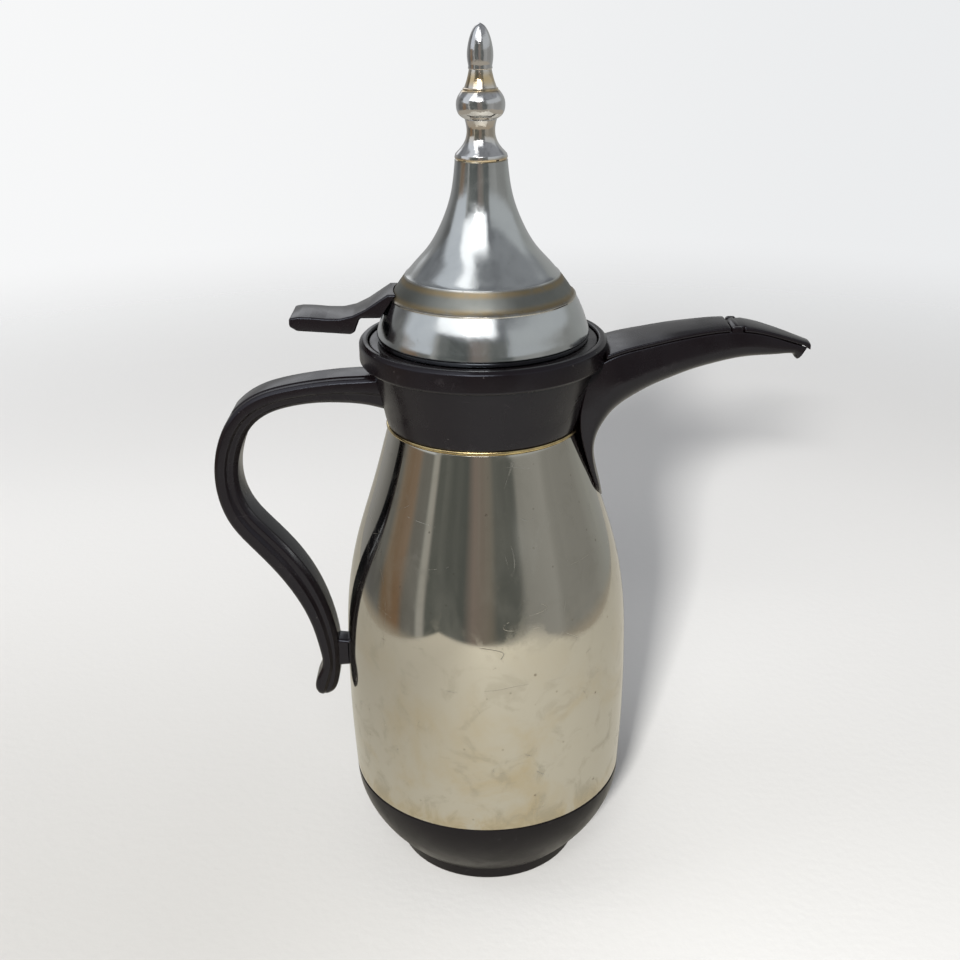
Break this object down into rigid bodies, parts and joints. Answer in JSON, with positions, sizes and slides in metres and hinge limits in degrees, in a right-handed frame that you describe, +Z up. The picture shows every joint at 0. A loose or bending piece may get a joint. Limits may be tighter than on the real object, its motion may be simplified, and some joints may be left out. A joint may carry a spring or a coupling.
{
  "type": "vacuum dallah coffee pot",
  "caption": "Tall vacuum-flask dallah coffee pot with a steel body, curved spout with a flap, looped handle, and a domed lid whose thumb lever opens the pouring valve.",
  "frame": {"origin": "centre of the foot ring's underside, on the floor and on the body's axis", "axes": "+Z up along the body's axis, +X towards the spout, -X towards the handle and lever, XZ is the mirror plane"},
  "size_m": [0.2365, 0.118, 0.346],
  "materials": {
    "polished_steel": "mirror polished, lightly stained",
    "worn_chrome": "satin worn chrome with brassy rubbed edges",
    "bright_chrome": "bright chrome plate",
    "brass_trim": "thin polished brass",
    "dark_plastic": "glossy dark maroon-brown moulded plastic",
    "base_plastic": "satin dark brown moulded plastic",
    "stopper_plastic": "natural moulded plastic, out of sight",
    "rubber": "soft black silicone",
    "silvered_glass": "silvered glass",
    "screw_steel": "plain steel"
  },
  "bodies": {
    "pot": {"foot_ring": "base_plastic", "base_cup": "base_plastic", "bottom_cap": "base_plastic", "liner_cushion": "rubber", "glass_liner_outer": "silvered_glass", "glass_liner_inner": "silvered_glass", "neck_gasket": "rubber", "body_shell": "polished_steel", "neck_trim_ring": "brass_trim", "collar": "dark_plastic", "spout_body": "dark_plastic", "spout_gasket": "rubber", "spout_screws": "screw_steel", "spout_cover": "dark_plastic", "flap_pin": "screw_steel", "handle": "dark_plastic", "handle_screws": "screw_steel"},
    "lid": {"stopper_body": "stopper_plastic", "stopper_seal": "rubber", "stopper_flange": "dark_plastic", "lid_screws": "screw_steel", "lid_dome": "worn_chrome", "finial": "bright_chrome", "finial_nut": "screw_steel", "lever_bracket": "stopper_plastic", "lever_pin": "screw_steel", "valve_spring": "screw_steel"},
    "lever": {"thumb_lever": "dark_plastic"},
    "valve": {"valve_stem": "stopper_plastic", "valve_seal": "rubber"},
    "flap": {"spout_flap": "dark_plastic"}
  },
  "joints": [
    {"name": "lid_lift", "type": "slide", "parent": "pot", "child": "lid", "axis": [0, 0, 1], "range_m": [0, 0.08]},
    {"name": "lever_press", "type": "hinge", "parent": "lid", "child": "lever", "pos_m": [-0.0305, 0, 0.2435], "axis": [0, -1, 0], "range_deg": [0, 9], "stiffness_Nm_per_rad": 0.28, "springref_deg": -7.45},
    {"name": "valve_lift", "type": "slide", "parent": "lid", "child": "valve", "axis": [0, 0, 1], "range_m": [0, 0.0049], "deforming": ["valve_spring"]},
    {"name": "flap_swing", "type": "hinge", "parent": "pot", "child": "flap", "pos_m": [0.0975, 0, 0.2333], "axis": [0, -1, 0], "range_deg": [0, 70]}
  ],
  "couplings": [
    {"joint": "valve_lift", "follows": "lever_press", "m_per_rad": 0.0305}
  ]
}
